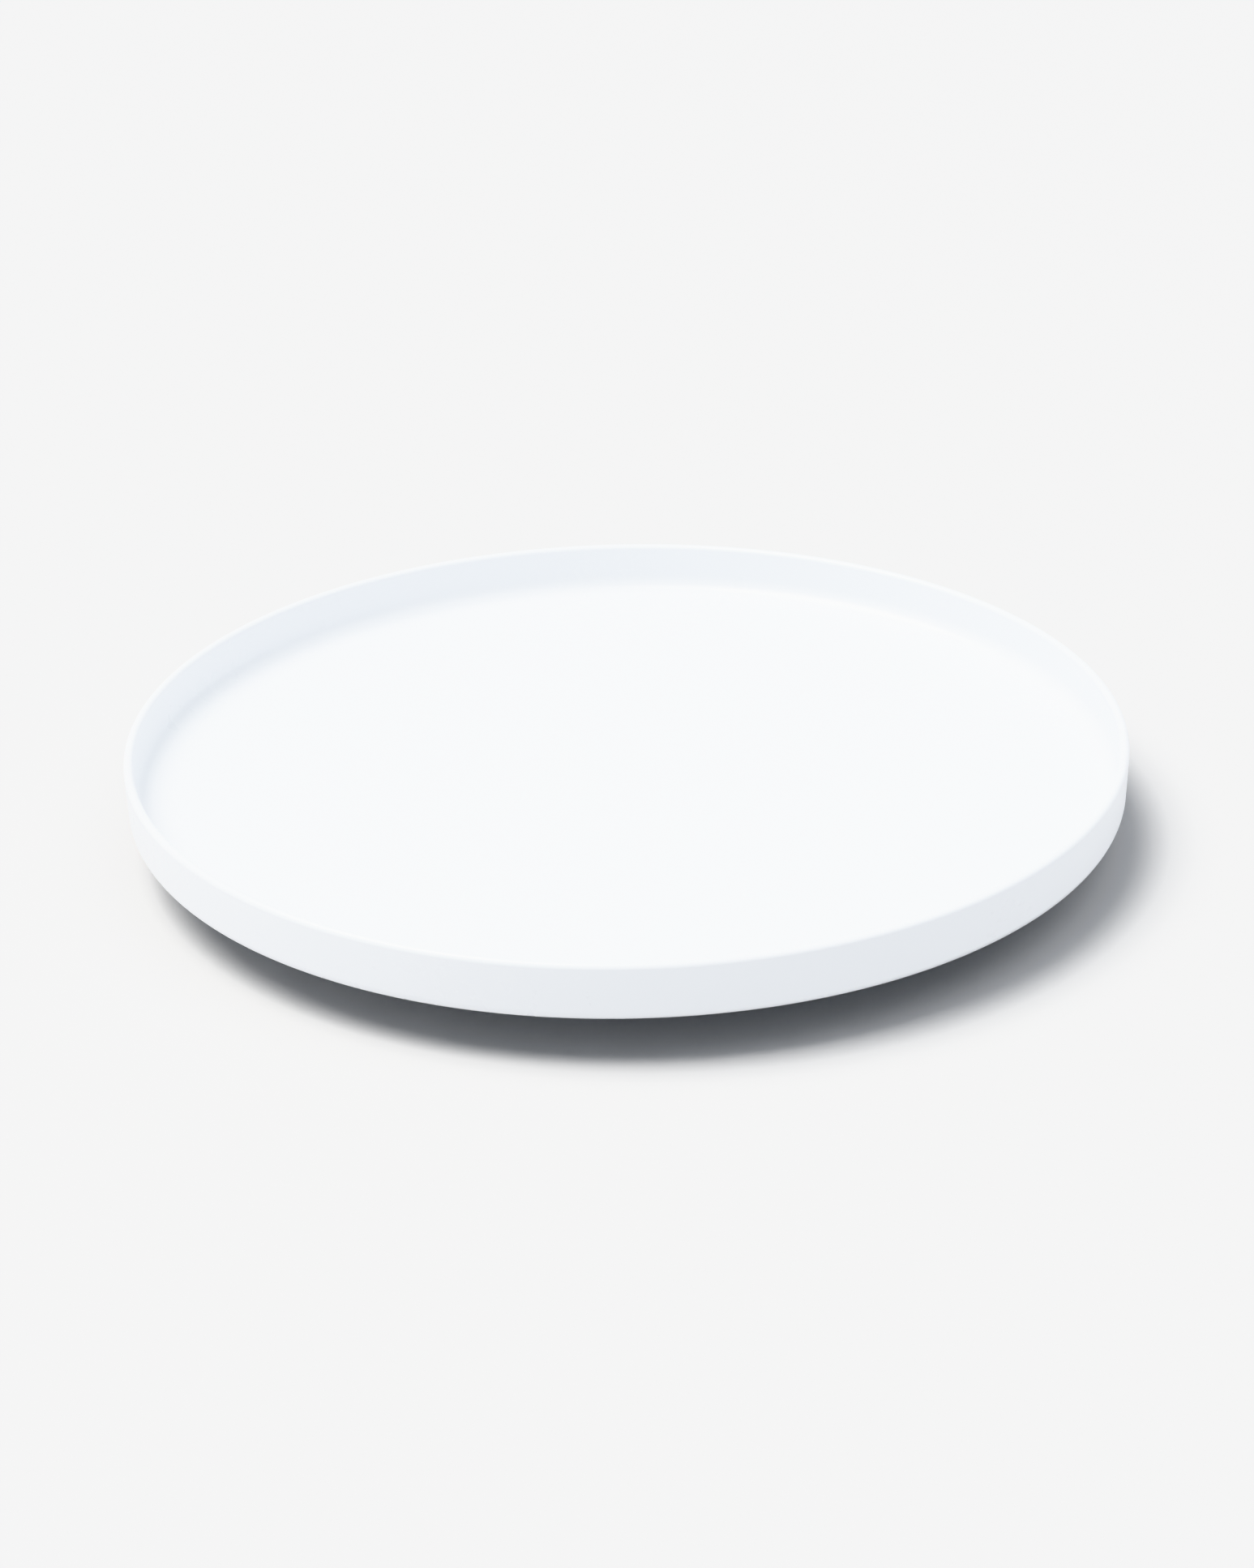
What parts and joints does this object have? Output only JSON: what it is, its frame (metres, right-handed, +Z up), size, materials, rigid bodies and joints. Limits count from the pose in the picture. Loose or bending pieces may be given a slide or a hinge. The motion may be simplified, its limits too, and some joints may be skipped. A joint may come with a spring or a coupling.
{
  "type": "lazy susan turntable",
  "caption": "Round low-walled tray that turns freely on a caged ball track above a fixed base with rubber feet, held down by a central screw and bush.",
  "frame": {"origin": "on the turning axis, on the surface that the feet stand on", "axes": "+Z up along the turning axis; +X from the axis through the first foot and the first ball"},
  "size_m": [0.3, 0.3, 0.0312],
  "materials": {
    "white_gloss": "satin gloss, moulded",
    "white_matte": "fine spark-eroded moulding texture",
    "natural_nylon": "natural, slightly waxy",
    "race_steel": "rolled strip with a burnished ball groove",
    "zinc_steel": "bright zinc plate",
    "ball_steel": "polished",
    "grey_rubber": "matte"
  },
  "bodies": {
    "base": {"base_plate": "white_matte", "lower_race": "race_steel", "centre_bush": "natural_nylon", "thrust_washer": "natural_nylon", "centre_cap": "white_matte", "foot_1": "grey_rubber", "foot_2": "grey_rubber", "foot_3": "grey_rubber", "foot_4": "grey_rubber", "foot_5": "grey_rubber", "foot_6": "grey_rubber"},
    "tray": {"tray": "white_gloss", "upper_race": "race_steel", "retaining_washer": "zinc_steel", "centre_screw": "zinc_steel"},
    "cage": {"ball_cage": "natural_nylon"},
    "ball_1": {"ball_1": "ball_steel"},
    "ball_2": {"ball_2": "ball_steel"},
    "ball_3": {"ball_3": "ball_steel"},
    "ball_4": {"ball_4": "ball_steel"},
    "ball_5": {"ball_5": "ball_steel"},
    "ball_6": {"ball_6": "ball_steel"},
    "ball_7": {"ball_7": "ball_steel"},
    "ball_8": {"ball_8": "ball_steel"},
    "ball_9": {"ball_9": "ball_steel"},
    "ball_10": {"ball_10": "ball_steel"},
    "ball_11": {"ball_11": "ball_steel"},
    "ball_12": {"ball_12": "ball_steel"},
    "ball_13": {"ball_13": "ball_steel"},
    "ball_14": {"ball_14": "ball_steel"},
    "ball_15": {"ball_15": "ball_steel"},
    "ball_16": {"ball_16": "ball_steel"},
    "ball_17": {"ball_17": "ball_steel"},
    "ball_18": {"ball_18": "ball_steel"}
  },
  "joints": [
    {"name": "tray_spin", "type": "hinge", "parent": "base", "child": "tray", "pos_m": [0, 0, 0], "axis": [0, 0, 1], "continuous": true},
    {"name": "cage_spin", "type": "hinge", "parent": "base", "child": "cage", "pos_m": [0, 0, 0], "axis": [0, 0, 1], "continuous": true},
    {"name": "ball_1_roll", "type": "hinge", "parent": "cage", "child": "ball_1", "pos_m": [0.08, 0, 0.0114], "axis": [1, 0, 0], "continuous": true},
    {"name": "ball_2_roll", "type": "hinge", "parent": "cage", "child": "ball_2", "pos_m": [0.07518, 0.02736, 0.0114], "axis": [0.9397, 0.342, 0], "continuous": true},
    {"name": "ball_3_roll", "type": "hinge", "parent": "cage", "child": "ball_3", "pos_m": [0.06128, 0.05142, 0.0114], "axis": [0.766, 0.6428, 0], "continuous": true},
    {"name": "ball_4_roll", "type": "hinge", "parent": "cage", "child": "ball_4", "pos_m": [0.04, 0.06928, 0.0114], "axis": [0.5, 0.866, 0], "continuous": true},
    {"name": "ball_5_roll", "type": "hinge", "parent": "cage", "child": "ball_5", "pos_m": [0.01389, 0.07878, 0.0114], "axis": [0.1736, 0.9848, 0], "continuous": true},
    {"name": "ball_6_roll", "type": "hinge", "parent": "cage", "child": "ball_6", "pos_m": [-0.01389, 0.07878, 0.0114], "axis": [-0.1736, 0.9848, 0], "continuous": true},
    {"name": "ball_7_roll", "type": "hinge", "parent": "cage", "child": "ball_7", "pos_m": [-0.04, 0.06928, 0.0114], "axis": [-0.5, 0.866, 0], "continuous": true},
    {"name": "ball_8_roll", "type": "hinge", "parent": "cage", "child": "ball_8", "pos_m": [-0.06128, 0.05142, 0.0114], "axis": [-0.766, 0.6428, 0], "continuous": true},
    {"name": "ball_9_roll", "type": "hinge", "parent": "cage", "child": "ball_9", "pos_m": [-0.07518, 0.02736, 0.0114], "axis": [-0.9397, 0.342, 0], "continuous": true},
    {"name": "ball_10_roll", "type": "hinge", "parent": "cage", "child": "ball_10", "pos_m": [-0.08, 0, 0.0114], "axis": [-1, 0, 0], "continuous": true},
    {"name": "ball_11_roll", "type": "hinge", "parent": "cage", "child": "ball_11", "pos_m": [-0.07518, -0.02736, 0.0114], "axis": [-0.9397, -0.342, 0], "continuous": true},
    {"name": "ball_12_roll", "type": "hinge", "parent": "cage", "child": "ball_12", "pos_m": [-0.06128, -0.05142, 0.0114], "axis": [-0.766, -0.6428, 0], "continuous": true},
    {"name": "ball_13_roll", "type": "hinge", "parent": "cage", "child": "ball_13", "pos_m": [-0.04, -0.06928, 0.0114], "axis": [-0.5, -0.866, 0], "continuous": true},
    {"name": "ball_14_roll", "type": "hinge", "parent": "cage", "child": "ball_14", "pos_m": [-0.01389, -0.07878, 0.0114], "axis": [-0.1736, -0.9848, 0], "continuous": true},
    {"name": "ball_15_roll", "type": "hinge", "parent": "cage", "child": "ball_15", "pos_m": [0.01389, -0.07878, 0.0114], "axis": [0.1736, -0.9848, 0], "continuous": true},
    {"name": "ball_16_roll", "type": "hinge", "parent": "cage", "child": "ball_16", "pos_m": [0.04, -0.06928, 0.0114], "axis": [0.5, -0.866, 0], "continuous": true},
    {"name": "ball_17_roll", "type": "hinge", "parent": "cage", "child": "ball_17", "pos_m": [0.06128, -0.05142, 0.0114], "axis": [0.766, -0.6428, 0], "continuous": true},
    {"name": "ball_18_roll", "type": "hinge", "parent": "cage", "child": "ball_18", "pos_m": [0.07518, -0.02736, 0.0114], "axis": [0.9397, -0.342, 0], "continuous": true}
  ],
  "couplings": [
    {"joint": "cage_spin", "follows": "tray_spin", "ratio": 0.5},
    {"joint": "ball_1_roll", "follows": "tray_spin", "ratio": -16},
    {"joint": "ball_2_roll", "follows": "tray_spin", "ratio": -16},
    {"joint": "ball_3_roll", "follows": "tray_spin", "ratio": -16},
    {"joint": "ball_4_roll", "follows": "tray_spin", "ratio": -16},
    {"joint": "ball_5_roll", "follows": "tray_spin", "ratio": -16},
    {"joint": "ball_6_roll", "follows": "tray_spin", "ratio": -16},
    {"joint": "ball_7_roll", "follows": "tray_spin", "ratio": -16},
    {"joint": "ball_8_roll", "follows": "tray_spin", "ratio": -16},
    {"joint": "ball_9_roll", "follows": "tray_spin", "ratio": -16},
    {"joint": "ball_10_roll", "follows": "tray_spin", "ratio": -16},
    {"joint": "ball_11_roll", "follows": "tray_spin", "ratio": -16},
    {"joint": "ball_12_roll", "follows": "tray_spin", "ratio": -16},
    {"joint": "ball_13_roll", "follows": "tray_spin", "ratio": -16},
    {"joint": "ball_14_roll", "follows": "tray_spin", "ratio": -16},
    {"joint": "ball_15_roll", "follows": "tray_spin", "ratio": -16},
    {"joint": "ball_16_roll", "follows": "tray_spin", "ratio": -16},
    {"joint": "ball_17_roll", "follows": "tray_spin", "ratio": -16},
    {"joint": "ball_18_roll", "follows": "tray_spin", "ratio": -16}
  ]
}
